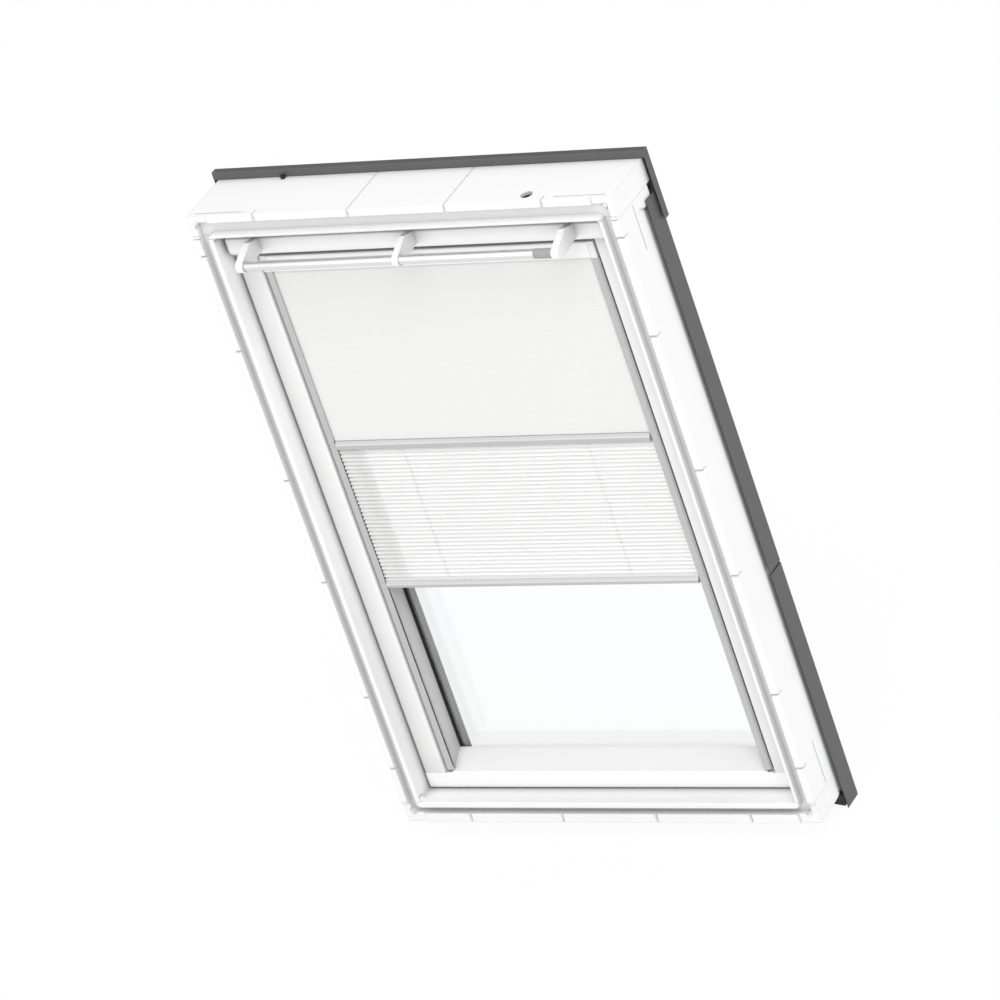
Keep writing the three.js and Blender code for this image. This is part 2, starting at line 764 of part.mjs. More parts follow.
// Insulating glass unit: two panes on a hollow spacer, against a rubber seal
function pane(face) {
  return box(-paneHalf, paneHalf, face, face + paneThickness, paneBottom, paneTop);
}
addPiece('inner_pane', pane(innerPaneFace), clearGlass);
addPiece('outer_pane', pane(outerPaneFace), clearGlass);
const spacerHalf = paneHalf - spacerInset - seat;
const spacerLow = paneBottom + spacerInset + seat;
const spacerHigh = paneTop - spacerInset - seat;
addPiece('pane_spacer', alongY(
  rectangle(spacerHalf, spacerLow, spacerHigh),
  spacerFace + seat,
  outerPaneFace - seat,
  [rectangle(sightX - spacerShow, sillSlopeTop - spacerFootDrop, headSight - headSealShow)],
), spacerMetal);
addPiece('glazing_seal', alongY(
  rectangle(sightX - glazingSealShow + glazingSealWidth, sillSlopeTop - sillSealDrop - glazingSealWidth,
    headSight - headSealShow + glazingSealWidth),
  shelfDepth + seat,
  innerPaneFace - seat,
  [rectangle(sightX - glazingSealShow, sillSlopeTop - sillSealDrop, headSight - headSealShow)],
), darkRubber);

// Outside glazing strips
const stripInner = paneHalf - stripOverlap;
for (const [side, hand] of [[-1, 'left'], [1, 'right']]) {
  addPiece(`glazing_strip_${hand}`, alongZ([
    [side * sashHalf, sashBack + seat],
    [side * sashHalf, stripBack],
    [side * stripInner, stripBack, stripThickness / 2],
    [side * stripInner, sashBack + seat],
  ], bottomCoverTop + seat, sashTop), greyCladding);
}
addPiece('glazing_strip_top', alongX([
  [sashBack + seat, paneTop - stripOverlap, stripThickness / 2],
  [stripBack, paneTop - stripOverlap],
  [stripBack, sashTop],
  [sashBack + seat, sashTop],
], seat - stripInner, stripInner - seat), greyCladding);

// Pivot hinges: a plate with a bush hole on the frame, a plate with its pin on the sash
for (const [side, hand] of [[-1, 'left'], [1, 'right']]) {
  const plateLow = pivotHeight - pivotPlateHeight / 2;
  const plateHigh = pivotHeight + pivotPlateHeight / 2;
  const plateFront = pivotDepth - pivotPlateReach;
  const plateBack = plateFront + pivotPlateDepth;
  const frameFace = openingHalf - seat;
  const sashSide = sashHalf + seat;
  addPiece(`frame_pivot_${hand}`, alongX([
    [plateFront, plateLow, over], [plateBack, plateLow, over],
    [plateBack, plateHigh, over], [plateFront, plateHigh, over],
  ], side * (frameFace - pivotPlateThickness), side * frameFace).subtract(
    round('x', pinRadius + pinPlay, side * (frameFace - over), side * (frameFace + over), pivotDepth, pivotHeight),
  ), zincSteel);
  addPiece(`sash_pivot_${hand}`, alongX([
    [plateFront, plateLow, over], [plateBack, plateLow, over],
    [plateBack, plateHigh, over], [plateFront, plateHigh, over],
  ], side * sashSide, side * (sashSide + pivotPlateThickness)).add(
    round('x', pinRadius, side * sashSide, side * (openingHalf + pinLength - seat), pivotDepth, pivotHeight),
  ), zincSteel);
}

// Lock: case and latch in the sash head, striker plate on the frame head
addPiece('lock_case', box(-lockHalfWidth, lockHalfWidth, lockFront, lockBack, lockBottom, lockTop).subtract(
  box(-latchHalfWidth - latchPlay, latchHalfWidth + latchPlay, latchFront - latchPlay, latchBack + latchPlay,
    latchBottom - latchTravel - latchPlay, lockTop + over)), zincSteel);
addPiece('latch', alongX([
  [latchFront, latchBottom],
  [latchBack, latchBottom],
  [latchBack, latchTop],
  [(latchFront + latchBack) / 2, latchTop, lipRound / 2],
  [latchFront, latchTop - lipRound],
], -latchHalfWidth, latchHalfWidth), zincSteel);
addPiece('striker', box(-strikerHalfWidth, strikerHalfWidth, latchFront - strikerMargin,
  latchBack + strikerMargin, openingTop - seat - strikerThickness, openingTop - seat).subtract(
  box(-latchHalfWidth - strikerThickness, latchHalfWidth + strikerThickness,
    latchFront - strikerThickness, latchBack + strikerThickness, openingTop - over, openingTop + over)), zincSteel);
addPiece('air_filter', box(seat - filterHalfWidth, filterHalfWidth - seat, headFace + seat, filterBack - seat,
  filterBottom + seat, filterTop - seat), filterFoam);

// Ventilation flap: a rounded profile that turns on two end pins
function flap() {
  const back = headFace - seat;
  let body = alongX([
    [back, flapBottom, flapBackRound],
    [back, flapTop, lipRound],
    [flapFront + flapShoulder, flapTop, flapShoulderRound],
    [flapFront, flapTop - flapShoulderDrop, flapShoulderRound],
    [flapFront, flapBottom + flapLipRise, flapLipRound],
    [flapAxisY - flapSole, flapBottom],
  ], -flapHalf, flapHalf);
  for (const side of [-1, 1]) {
    body = body.add(round('x', flapPinRadius, side * (flapHalf - over), side * (flapHalf + flapPinLength),
      flapAxisY, flapAxisZ, 12));
  }
  return body;
}
addPiece('ventilation_flap', flap(), whiteLacquer);

addPiece('control_bar', round('x', barRadius, -barEnd, barEnd, barDepth, barHeight), satinAluminium);

// A bracket: a fin whose front edge runs straight from its crest to a head round the bar
function bracket(x, thickness, hole) {
  const root = flapFront - seat;
  const foot = flapBottom + bracketBottomInset;
  const crest = [root - bracketCrestReach, flapTop + bracketCrestRise, bracketCrestRound];
  const corners = [[root, foot], [root, flapTop - bracketTopInset], crest];
  const touch = (y, z, turn) => Math.atan2(z - barHeight, y - barDepth)
    + turn * Math.acos(bracketHead / Math.hypot(y - barDepth, z - barHeight));
  const first = touch(crest[0], crest[1], 1);
  const last = touch(root, foot, -1) + 2 * Math.PI;
  const turns = arcSteps * 2;
  for (let step = 0; step <= turns; step += 1) {
    const angle = first + (last - first) * step / turns;
    corners.push([barDepth + bracketHead * Math.cos(angle), barHeight + bracketHead * Math.sin(angle)]);
  }
  return alongX(corners, x - thickness / 2, x + thickness / 2).subtract(hole);
}
const socket = (from, to) => round('x', barRadius + barPlay, from, to, barDepth, barHeight);
addPiece('bracket_left', bracket(-barEnd, endBracketThickness,
  socket(-barEnd - barPlay, over - barEnd + endBracketThickness)), whiteLacquer);
addPiece('bracket_middle', bracket(0, middleBracketThickness,
  socket(-middleBracketThickness, middleBracketThickness)), whiteLacquer);
addPiece('bracket_right', bracket(barEnd, endBracketThickness,
  socket(barEnd - endBracketThickness - over, barEnd + barPlay)), whiteLacquer);

// Blind casing: an open profile with two end caps that lie on the stiles
const rollHeight = (casingBottom + casingTop) / 2;
const rollRoom = Math.min(casingHeight - 2 * casingWall, casingBack - casingWall - fabricPlane);
const rollRadius = rollRoom / 2 - rollPlay;
const tubeRadius = rollRadius - clothBuildUp;
const rollDepth = fabricPlane + fabricThickness / 2 + rollRadius;
const slotFront = fabricPlane - casingSlot / 2;
const slotBack = fabricPlane + casingSlot / 2;
addPiece('blind_casing', alongX([
  [slotBack, casingBottom],
  [casingBack, casingBottom],
  [casingBack, casingTop, casingRound],
  [casingFront, casingTop, casingRound],
  [casingFront, casingBottom, casingWall],
  [slotFront, casingBottom],
  [slotFront, casingBottom + casingWall],
  [casingFront + casingWall, casingBottom + casingWall],
  [casingFront + casingWall, casingTop - casingWall],
  [casingBack - casingWall, casingTop - casingWall],
  [casingBack - casingWall, casingBottom + casingWall],
  [slotBack, casingBottom + casingWall],
], -fabricHalf - seat, fabricHalf + seat), whiteLacquer);
for (const [side, hand] of [[-1, 'left'], [1, 'right']]) {
  const inner = fabricHalf + 2 * seat;
  const cap = box(side * inner, side * (inner + capThickness), casingFront, casingBack, casingBottom, casingTop);
  const lug = box(side * inner, side * (ledgeX - railMargin), casingFront, ledgeFace - seat,
    casingBottom, casingTop);
  const bush = round('x', tubePinRadius + seat, side * (inner - over), side * (inner + capThickness + over),
    rollDepth, rollHeight, 12);
  addPiece(`casing_cap_${hand}`, cap.add(lug).subtract(bush), whiteLacquer);
}

// Roller tube with its end pins, and the blackout cloth wound on it
function lathe(profile) {
  const geometry = new THREE.LatheGeometry(profile.map(([radius, x]) => new THREE.Vector2(radius, x)), roundSides);
  geometry.rotateZ(-Math.PI / 2).translate(0, rollDepth, rollHeight);
  return solid(geometry);
}
const tubeHalf = fabricHalf - 2 * seat;
const pinEnd = fabricHalf + 2 * seat + capThickness - seat;
addPiece('roller_tube', lathe([
  [0, -pinEnd], [tubePinRadius, -pinEnd], [tubePinRadius, -tubeHalf], [tubeRadius, -tubeHalf],
  [tubeRadius, tubeHalf], [tubePinRadius, tubeHalf], [tubePinRadius, pinEnd], [0, pinEnd],
]), satinAluminium);
const rollHalf = tubeHalf - seat;
addPiece('fabric_roll', lathe([
  [tubeRadius + seat, -rollHalf], [rollRadius, -rollHalf],
  [rollRadius, rollHalf], [tubeRadius + seat, rollHalf], [tubeRadius + seat, -rollHalf],
]), blackoutCloth);

// Side rails with the slot that holds the cloth's edge and the bars' guides
const slopeShare = (sillSlopeRise - sillSlopeLip) / (shelfDepth - sashFace - lipRound);
const railFoot = sillFaceTop + sillSlopeLip + slopeShare * (railBack - sashFace - lipRound) + seat;
for (const [side, hand] of [[-1, 'left'], [1, 'right']]) {
  const outer = ledgeX - railMargin;
  addPiece(`side_rail_${hand}`, alongZ([
    [side * outer, railFront + railChamfer],
    [side * outer, railBack],
    [side * railInner, railBack],
    [side * railInner, fabricPlane + railSlot / 2],
    [side * (railInner + railSlotDepth), fabricPlane + railSlot / 2],
    [side * (railInner + railSlotDepth), fabricPlane - railSlot / 2],
    [side * railInner, fabricPlane - railSlot / 2],
    [side * railInner, railFront, lipRound / 2],
    [side * (outer - railChamfer), railFront],
  ], railFoot, casingBottom - seat), satinAluminium);
}

// A bar of the blind: a moulded aluminium profile with a guide at each end
function blindBar(bottom, height) {
  const top = bottom + height;
  return alongX([
    [barBack, bottom, barRound],
    [barBack, top, barRound],
    [fabricPlane - barRound, top, barRound],
    [barFront, top - barNose, barNose],
    [barFront, bottom + barStep, barRound],
    [barFront + barRound, bottom, barRound / 2],
  ], -barHalf, barHalf);
}

function barGuide(side, bottom, height) {
  const face = barHalf + seat;
  const head = box(side * face, side * (face + guideHead), barFront + guideInset, barBack - guideInset,
    bottom + guideInset, bottom + height - guideInset);
  const tongue = box(side * (face + guideHead / 2), side * (face + guideReach),
    fabricPlane - guideThickness / 2, fabricPlane + guideThickness / 2,
    bottom + guideInset, bottom + height - guideInset);
  return head.add(tongue);
}

const bars = [
  ['blackout', blackoutBarBottom, blackoutBarHeight],
  ['pleated', pleatedBarBottom, pleatedBarHeight],
];
for (const [blind, bottom, height] of bars) {
  addPiece(`${blind}_bar`, blindBar(bottom, height), satinAluminium);
  addPiece(`${blind}_guide_left`, barGuide(-1, bottom, height), greyPlastic);
  addPiece(`${blind}_guide_right`, barGuide(1, bottom, height), greyPlastic);
}

// The stretched blackout cloth, from the roll to its bar
addPiece('blackout_fabric', box(-fabricHalf, fabricHalf, fabricPlane - fabricThickness / 2,
  fabricPlane + fabricThickness / 2, blackoutBarBottom + blackoutBarHeight + seat, rollHeight), blackoutCloth);

// The pleated cloth: one folded sheet, with the row of slots that each cord runs through
function pleats() {
  const low = pleatedBarBottom + pleatedBarHeight + seat;
  const high = blackoutBarBottom - seat;
  const count = Math.round((high - low) / pleatPitch);
  const fold = (high - low) / count / 2;
  const front = [];
  const back = [];
  for (let step = 0; step <= count * 2; step += 1) {
    const swing = step % 2 === 0 ? -1 : 1;
    const depth = fabricPlane + swing * (pleatDepth - pleatThickness) / 2;
    front.push([depth - pleatThickness / 2, low + step * fold]);
    back.unshift([depth + pleatThickness / 2, low + step * fold]);
  }
  let cloth = alongX([...front, ...back], -barHalf, barHalf);
  for (const side of [-1, 1]) {
    cloth = cloth.subtract(box(side * cordX - cordHole / 2, side * cordX + cordHole / 2,
      fabricPlane - cordHole / 2, fabricPlane + pleatDepth, low - over, high + over));
  }
  return cloth;
}
addPiece('pleated_fabric', pleats(), pleatedCloth);
for (const [side, hand] of [[-1, 'left'], [1, 'right']]) {
  addPiece(`pleat_cord_${hand}`, round('z', cordRadius, pleatedBarBottom + pleatedBarHeight + seat,
    blackoutBarBottom - seat, side * cordX, fabricPlane, 8), pleatedCloth);
}

export default roofWindow;
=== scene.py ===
import json
import math

import bmesh
import bpy
from mathutils import Matrix, Vector


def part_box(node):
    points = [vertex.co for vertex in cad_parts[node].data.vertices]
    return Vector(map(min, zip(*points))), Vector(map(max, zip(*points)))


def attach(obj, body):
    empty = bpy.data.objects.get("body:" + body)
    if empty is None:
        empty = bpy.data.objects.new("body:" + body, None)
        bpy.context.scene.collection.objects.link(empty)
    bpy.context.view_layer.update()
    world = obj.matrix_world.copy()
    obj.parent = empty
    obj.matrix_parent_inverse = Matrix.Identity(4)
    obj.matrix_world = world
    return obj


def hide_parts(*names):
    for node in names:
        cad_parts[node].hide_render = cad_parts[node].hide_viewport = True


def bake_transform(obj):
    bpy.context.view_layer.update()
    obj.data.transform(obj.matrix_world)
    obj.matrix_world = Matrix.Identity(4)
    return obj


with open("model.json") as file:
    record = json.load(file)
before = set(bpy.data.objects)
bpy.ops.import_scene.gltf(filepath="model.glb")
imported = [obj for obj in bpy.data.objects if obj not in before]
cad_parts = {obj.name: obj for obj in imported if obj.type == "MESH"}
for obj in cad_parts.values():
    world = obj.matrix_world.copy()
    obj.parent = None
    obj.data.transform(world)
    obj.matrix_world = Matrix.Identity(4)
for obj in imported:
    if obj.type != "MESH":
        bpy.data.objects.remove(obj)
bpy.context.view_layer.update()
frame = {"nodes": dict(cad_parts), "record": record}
print("frame loaded:", len(frame["nodes"]), "nodes")


def deselectAll():
    if bpy.context.object and bpy.context.object.mode != "OBJECT":
        bpy.ops.object.mode_set(mode="OBJECT")
    bpy.ops.object.select_all(action="DESELECT")


def named(name):
    piece = bpy.context.object
    piece.name = name
    piece.data.name = name
    return piece


def selectWhere(piece, kind, test):
    bpy.ops.object.mode_set(mode="EDIT")
    mesh = bmesh.from_edit_mesh(piece.data)
    bpy.ops.mesh.select_mode(type=kind)
    for part in (mesh.verts, mesh.edges, mesh.faces):
        for element in part:
            element.select = False
    chosen = {"VERT": mesh.verts, "EDGE": mesh.edges, "FACE": mesh.faces}[kind]
    for element in chosen:
        if test(element):
            element.select = True
    mesh.select_flush_mode()
    bmesh.update_edit_mesh(piece.data)


# Applies the piece's place and turn, and shades it smooth up to an angle
def settle(piece, smoothAngle):
    deselectAll()
    piece.select_set(True)
    bpy.context.view_layer.objects.active = piece
    bpy.ops.object.transform_apply(location=True, rotation=True, scale=True)
    bpy.ops.object.shade_smooth_by_angle(angle=math.radians(smoothAngle))
    return piece


def finishWith(piece, kind, name, **values):
    modifier = piece.modifiers.new(name, kind)
    for key, value in values.items():
        setattr(modifier, key, value)
    bpy.context.view_layer.objects.active = piece
    bpy.ops.object.modifier_apply(modifier=name)


cameraView = {
    "place": (5.80000, -8.20655, 5.83109),
    "right": (0.85752, 0.42089, -0.29582),
    "up": (0.01982, 0.54756, 0.83653),
    "forward": (-0.51406, 0.72321, -0.46120),
    "lens": 254.05,
    "sensor": 36,
}


def addCamera():
    deselectAll()
    bpy.ops.object.camera_add(location=cameraView["place"])
    camera = bpy.context.object
    camera.name = "photoCamera"
    forward = Vector(cameraView["forward"]).normalized()
    right = Vector(cameraView["right"])
    right = (right - forward * right.dot(forward)).normalized()
    up = right.cross(forward)
    turn = Matrix((right, up, -forward)).transposed()      # the camera looks along its own -Z
    camera.rotation_euler = turn.to_euler()
    camera.data.sensor_fit = "HORIZONTAL"
    camera.data.sensor_width = cameraView["sensor"]
    camera.data.lens = cameraView["lens"]
    camera.data.clip_end = 100
    bpy.context.scene.camera = camera


addCamera()
print("camera placed")


stage = {
    "floorHeight": -0.032,
    "floorSize": 60,
    "floorColour": (0.93, 0.93, 0.93, 1),
    "floorWhite": 0.95,              # share of plain white that the camera sees
    "sky": 0.85,
    "mirrorToward": (0, -0.906, 0.423),
    "mirrorRange": (-0.05, 0.80),    # facing shares at which the mirrored sky is darkest and palest
    "mirrorDark": 0.15,
    "mirrorPale": 1.45,
    "aim": (0, 0, 0.55),
    "keySize": 5.0,
    "keyPower": 325,
    "keyPlace": (3.4, -4.6, 7.5),
}


noiseSpan = (0.3, 0.7)       # the part of a noise's range that is stretched to a material's two values


def rangeOf(nodes, links, value, low, high, start=noiseSpan[0], end=noiseSpan[1]):
    spread = nodes.new("ShaderNodeMapRange")
    spread.inputs["From Min"].default_value = start
    spread.inputs["From Max"].default_value = end
    spread.inputs["To Min"].default_value = low
    spread.inputs["To Max"].default_value = high
    links.new(value, spread.inputs["Value"])
    return spread.outputs["Result"]


def seenDirectly(nodes, links):
    path = nodes.new("ShaderNodeLightPath")
    first = nodes.new("ShaderNodeMath")
    first.operation = "ADD"
    links.new(path.outputs["Is Camera Ray"], first.inputs[0])
    links.new(path.outputs["Is Glossy Ray"], first.inputs[1])
    second = nodes.new("ShaderNodeMath")
    second.operation = "ADD"
    second.use_clamp = True
    links.new(first.outputs[0], second.inputs[0])
    links.new(path.outputs["Is Transmission Ray"], second.inputs[1])
    return second.outputs[0]


def makeFloor():
    deselectAll()
    bpy.ops.mesh.primitive_plane_add(size=stage["floorSize"], location=(0, 0, stage["floorHeight"]))
    floor = named("studioFloor")
    material = bpy.data.materials.new("paleFloor")
    material.use_nodes = True
    nodes, links = material.node_tree.nodes, material.node_tree.links
    nodes.clear()
    paint = nodes.new("ShaderNodeBsdfDiffuse")
    paint.inputs["Color"].default_value = stage["floorColour"]
    glow = nodes.new("ShaderNodeEmission")
    glow.inputs["Color"].default_value = (1, 1, 1, 1)
    share = nodes.new("ShaderNodeMath")
    share.operation = "MULTIPLY"
    share.inputs[1].default_value = stage["floorWhite"]
    links.new(seenDirectly(nodes, links), share.inputs[0])
    mix = nodes.new("ShaderNodeMixShader")
    out = nodes.new("ShaderNodeOutputMaterial")
    links.new(share.outputs[0], mix.inputs["Fac"])
    links.new(paint.outputs[0], mix.inputs[1])
    links.new(glow.outputs[0], mix.inputs[2])
    links.new(mix.outputs[0], out.inputs["Surface"])
    floor.data.materials.append(material)


# What bright metal mirrors: pale in front of the window, darker above and behind it
def mirroredSky(nodes, links):
    place = nodes.new("ShaderNodeTexCoord")
    facing = nodes.new("ShaderNodeVectorMath")
    facing.operation = "DOT_PRODUCT"
    facing.inputs[1].default_value = stage["mirrorToward"]
    links.new(place.outputs["Generated"], facing.inputs[0])
    glow = rangeOf(nodes, links, facing.outputs["Value"], stage["mirrorDark"], stage["mirrorPale"],
                   *stage["mirrorRange"])
    path = nodes.new("ShaderNodeLightPath")
    pick = nodes.new("ShaderNodeMix")
    pick.inputs["A"].default_value = 1
    links.new(path.outputs["Is Glossy Ray"], pick.inputs["Factor"])
    links.new(glow, pick.inputs["B"])
    return pick.outputs["Result"]


def lightWorld():
    world = bpy.data.worlds.new("studioWorld")
    bpy.context.scene.world = world
    world.use_nodes = True
    nodes, links = world.node_tree.nodes, world.node_tree.links
    nodes.clear()
    sky = nodes.new("ShaderNodeBackground")
    sky.inputs["Color"].default_value = (1, 1, 1, 1)
    sky.inputs["Strength"].default_value = stage["sky"]
    seen = nodes.new("ShaderNodeBackground")
    seen.inputs["Color"].default_value = (1, 1, 1, 1)
    links.new(mirroredSky(nodes, links), seen.inputs["Strength"])
    mix = nodes.new("ShaderNodeMixShader")
    out = nodes.new("ShaderNodeOutputWorld")
    links.new(seenDirectly(nodes, links), mix.inputs["Fac"])
    links.new(sky.outputs[0], mix.inputs[1])
    links.new(seen.outputs[0], mix.inputs[2])
    links.new(mix.outputs[0], out.inputs["Surface"])


def addSoftbox(name, place, size, power):
    deselectAll()
    bpy.ops.object.light_add(type="AREA", location=place)
    lamp = bpy.context.object
    lamp.name = name
    lamp.data.size = size
    lamp.data.energy = power
    aim = Vector(stage["aim"]) - Vector(place)
    lamp.rotation_euler = aim.to_track_quat("-Z", "Y").to_euler()
    lamp.visible_camera = False


makeFloor()
lightWorld()
addSoftbox("keySoftbox", stage["keyPlace"], stage["keySize"], stage["keyPower"])
bpy.context.scene.view_settings.view_transform = "Standard"
print("floor and softbox ready")


def startMaterial(name):
    material = bpy.data.materials.new(name)
    material.use_nodes = True
    nodes, links = material.node_tree.nodes, material.node_tree.links
    shader = nodes["Principled BSDF"]
    place = nodes.new("ShaderNodeTexCoord")
    return material, nodes, links, shader, place.outputs["Object"]


def noiseOf(nodes, links, place, scale, detail=2.0, stretch=(1, 1, 1)):
    spread = nodes.new("ShaderNodeMapping")
    spread.inputs["Scale"].default_value = stretch
    links.new(place, spread.inputs["Vector"])
    noise = nodes.new("ShaderNodeTexNoise")
    noise.inputs["Scale"].default_value = scale
    noise.inputs["Detail"].default_value = detail
    links.new(spread.outputs[0], noise.inputs["Vector"])
    return noise.outputs["Fac"]


def tintOf(nodes, links, value, first, second):
    ramp = nodes.new("ShaderNodeValToRGB")
    for element, position, colour in zip(ramp.color_ramp.elements, noiseSpan, (first, second)):
        element.position = position
        element.color = colour
    links.new(value, ramp.inputs["Fac"])
    return ramp.outputs["Color"]


shaderSamples = {"bevel": 4, "hollow": 8}


def relief(nodes, links, shader, height, strength, distance, edge=0.0):
    bump = nodes.new("ShaderNodeBump")
    bump.inputs["Strength"].default_value = strength
    bump.inputs["Distance"].default_value = distance
    links.new(height, bump.inputs["Height"])
    if edge:
        soften = nodes.new("ShaderNodeBevel")
        soften.samples = shaderSamples["bevel"]
        soften.inputs["Radius"].default_value = edge
        links.new(soften.outputs["Normal"], bump.inputs["Normal"])
    links.new(bump.outputs["Normal"], shader.inputs["Normal"])


# Painted shade: darkens the colour in grooves, corners and gaps, the more closely other surfaces hem them
# in
def paintedHollowShade(nodes, links, tint, least, reach, start, end):
    openness = nodes.new("ShaderNodeAmbientOcclusion")
    openness.samples = shaderSamples["hollow"]
    openness.inputs["Distance"].default_value = reach
    share = rangeOf(nodes, links, openness.outputs["AO"], least, 1.0, start, end)
    mix = nodes.new("ShaderNodeMix")
    mix.data_type = "RGBA"
    mix.blend_type = "MULTIPLY"
    mix.inputs["Factor"].default_value = 1.0
    links.new(tint, mix.inputs["A"])
    links.new(share, mix.inputs["B"])
    return mix.outputs["Result"]


def grey(value, warm=0.0):
    return (value + warm, value + warm * 0.5, value - warm, 1)


# Depth of each surface's grain in metres
grainDepth = {
    "painted": 0.0003, "brushed": 0.0002, "rubber": 0.0003, "glass": 0.0005, "spacer": 0.0004,
    "cloth": 0.0002, "foam": 0.001,
}


def paintedLook(name, look):
    material, nodes, links, shader, place = startMaterial(name)
    broad = noiseOf(nodes, links, place, look["patchScale"], 3)
    tint = tintOf(nodes, links, broad, look["colour"], look["shade"])
    # painted shade in grooves, corners and gaps
    if "hollow" in look:
        tint = paintedHollowShade(nodes, links, tint, look["hollow"], look["hollowReach"], look["hollowFrom"],
                      look["hollowTo"])
    links.new(tint, shader.inputs["Base Color"])
    fine = noiseOf(nodes, links, place, look["grainScale"], 2)
    links.new(rangeOf(nodes, links, broad, look["roughness"], look["roughness"] + look["roughSpread"]),
              shader.inputs["Roughness"])
    shader.inputs["Specular IOR Level"].default_value = look["specular"]
    shader.inputs["Coat Weight"].default_value = look.get("coat", 0.0)
    shader.inputs["Coat Roughness"].default_value = look.get("coatRoughness", 0.3)
    relief(nodes, links, shader, fine, look["grain"], grainDepth["painted"], look["edge"])
    return material


def brushedLook(name, look):
    material, nodes, links, shader, place = startMaterial(name)
    drawn = noiseOf(nodes, links, place, look["grainScale"], 3, look["along"])
    links.new(tintOf(nodes, links, drawn, look["colour"], look["shade"]), shader.inputs["Base Color"])
    links.new(rangeOf(nodes, links, drawn, look["roughness"], look["roughness"] + look["roughSpread"]),
              shader.inputs["Roughness"])
    shader.inputs["Metallic"].default_value = look["metallic"]
    relief(nodes, links, shader, drawn, look["grain"], grainDepth["brushed"], look["edge"])
    return material


def rubberLook(name, look):
    material, nodes, links, shader, place = startMaterial(name)
    fine = noiseOf(nodes, links, place, look["grainScale"], 4)
    links.new(tintOf(nodes, links, fine, look["colour"], look["shade"]), shader.inputs["Base Color"])
    shader.inputs["Roughness"].default_value = look["roughness"]
    shader.inputs["Specular IOR Level"].default_value = look["specular"]
    relief(nodes, links, shader, fine, look["grain"], grainDepth["rubber"], look["edge"])
    return material


def glassLook(name, look):
    material, nodes, links, shader, place = startMaterial(name)
    broad = noiseOf(nodes, links, place, look["patchScale"], 1)
    links.new(tintOf(nodes, links, broad, look["colour"], look["shade"]), shader.inputs["Base Color"])
    shader.inputs["Transmission Weight"].default_value = 1
    shader.inputs["Roughness"].default_value = 0
    shader.inputs["IOR"].default_value = look["bend"]
    relief(nodes, links, shader, broad, look["grain"], grainDepth["glass"])
    return material


def spacerLook(name, look):
    material, nodes, links, shader, place = startMaterial(name)
    wave = nodes.new("ShaderNodeTexWave")
    wave.wave_type = "BANDS"
    wave.bands_direction = "Z"
    wave.inputs["Scale"].default_value = look["rows"]
    wave.inputs["Distortion"].default_value = 0
    links.new(place, wave.inputs["Vector"])
    links.new(tintOf(nodes, links, wave.outputs["Fac"], look["colour"], look["shade"]),
              shader.inputs["Base Color"])
    shader.inputs["Metallic"].default_value = look["metallic"]
    shader.inputs["Roughness"].default_value = look["roughness"]
    relief(nodes, links, shader, wave.outputs["Fac"], look["grain"], grainDepth["spacer"])
    return material


clothBasics = {"slubStretch": (1, 4, 1), "specular": 0.2, "sheenRoughness": 0.5}


def clothLook(name, look):
    material, nodes, links, shader, _ = startMaterial(name)
    own = nodes.new("ShaderNodeUVMap")
    own.uv_map = "UVMap"
    threads = []
    for axis in ("X", "Y"):
        wave = nodes.new("ShaderNodeTexWave")
        wave.wave_type = "BANDS"
        wave.bands_direction = axis
        wave.inputs["Scale"].default_value = look["threads"]
        wave.inputs["Distortion"].default_value = look["waver"]
        wave.inputs["Detail"].default_value = 1
        wave.inputs["Detail Scale"].default_value = 2
        links.new(own.outputs["UV"], wave.inputs["Vector"])
        threads.append(wave.outputs["Fac"])
    weave = nodes.new("ShaderNodeMath")
    weave.operation = "MULTIPLY"
    links.new(threads[0], weave.inputs[0])
    links.new(threads[1], weave.inputs[1])
    slub = noiseOf(nodes, links, own.outputs["UV"], look["slub"], 3, clothBasics["slubStretch"])
    shade = nodes.new("ShaderNodeMath")
    shade.operation = "MULTIPLY_ADD"
    shade.inputs[1].default_value = look["weaveShade"]
    links.new(weave.outputs[0], shade.inputs[0])
    links.new(slub, shade.inputs[2])
    links.new(tintOf(nodes, links, shade.outputs[0], look["shade"], look["colour"]),
              shader.inputs["Base Color"])
    shader.inputs["Roughness"].default_value = look["roughness"]
    shader.inputs["Specular IOR Level"].default_value = clothBasics["specular"]
    shader.inputs["Sheen Weight"].default_value = look["sheen"]
    shader.inputs["Sheen Roughness"].default_value = clothBasics["sheenRoughness"]
    shader.inputs["Alpha"].default_value = look.get("cover", 1.0)      # below 1 for a light-filtering cloth
    relief(nodes, links, shader, weave.outputs[0], look["relief"], grainDepth["cloth"])
    return material


def foamLook(name, look):
    material, nodes, links, shader, place = startMaterial(name)
    cells = nodes.new("ShaderNodeTexVoronoi")
    cells.inputs["Scale"].default_value = look["cells"]
    links.new(place, cells.inputs["Vector"])
    links.new(tintOf(nodes, links, cells.outputs["Distance"], look["colour"], look["shade"]),
              shader.inputs["Base Color"])
    shader.inputs["Roughness"].default_value = look["roughness"]
    relief(nodes, links, shader, cells.outputs["Distance"], look["grain"], grainDepth["foam"])
    return material


lacquer = {
    "colour": grey(0.90, 0.002), "shade": grey(0.88, 0.002), "patchScale": 9, "grainScale": 520,
    "grain": 0.06, "roughness": 0.28, "roughSpread": 0.08, "specular": 0.5, "edge": 0.0008,
    "coat": 0.25, "coatRoughness": 0.2,
}

rubber = {"grainScale": 900, "grain": 0.25, "specular": 0.35, "edge": 0.0004}

aluminium = {
    "colour": grey(0.61), "shade": grey(0.55), "grainScale": 260, "along": (0.02, 6, 6),
    "metallic": 1.0, "roughness": 0.24, "roughSpread": 0.12, "grain": 0.10, "edge": 0.0012,
}

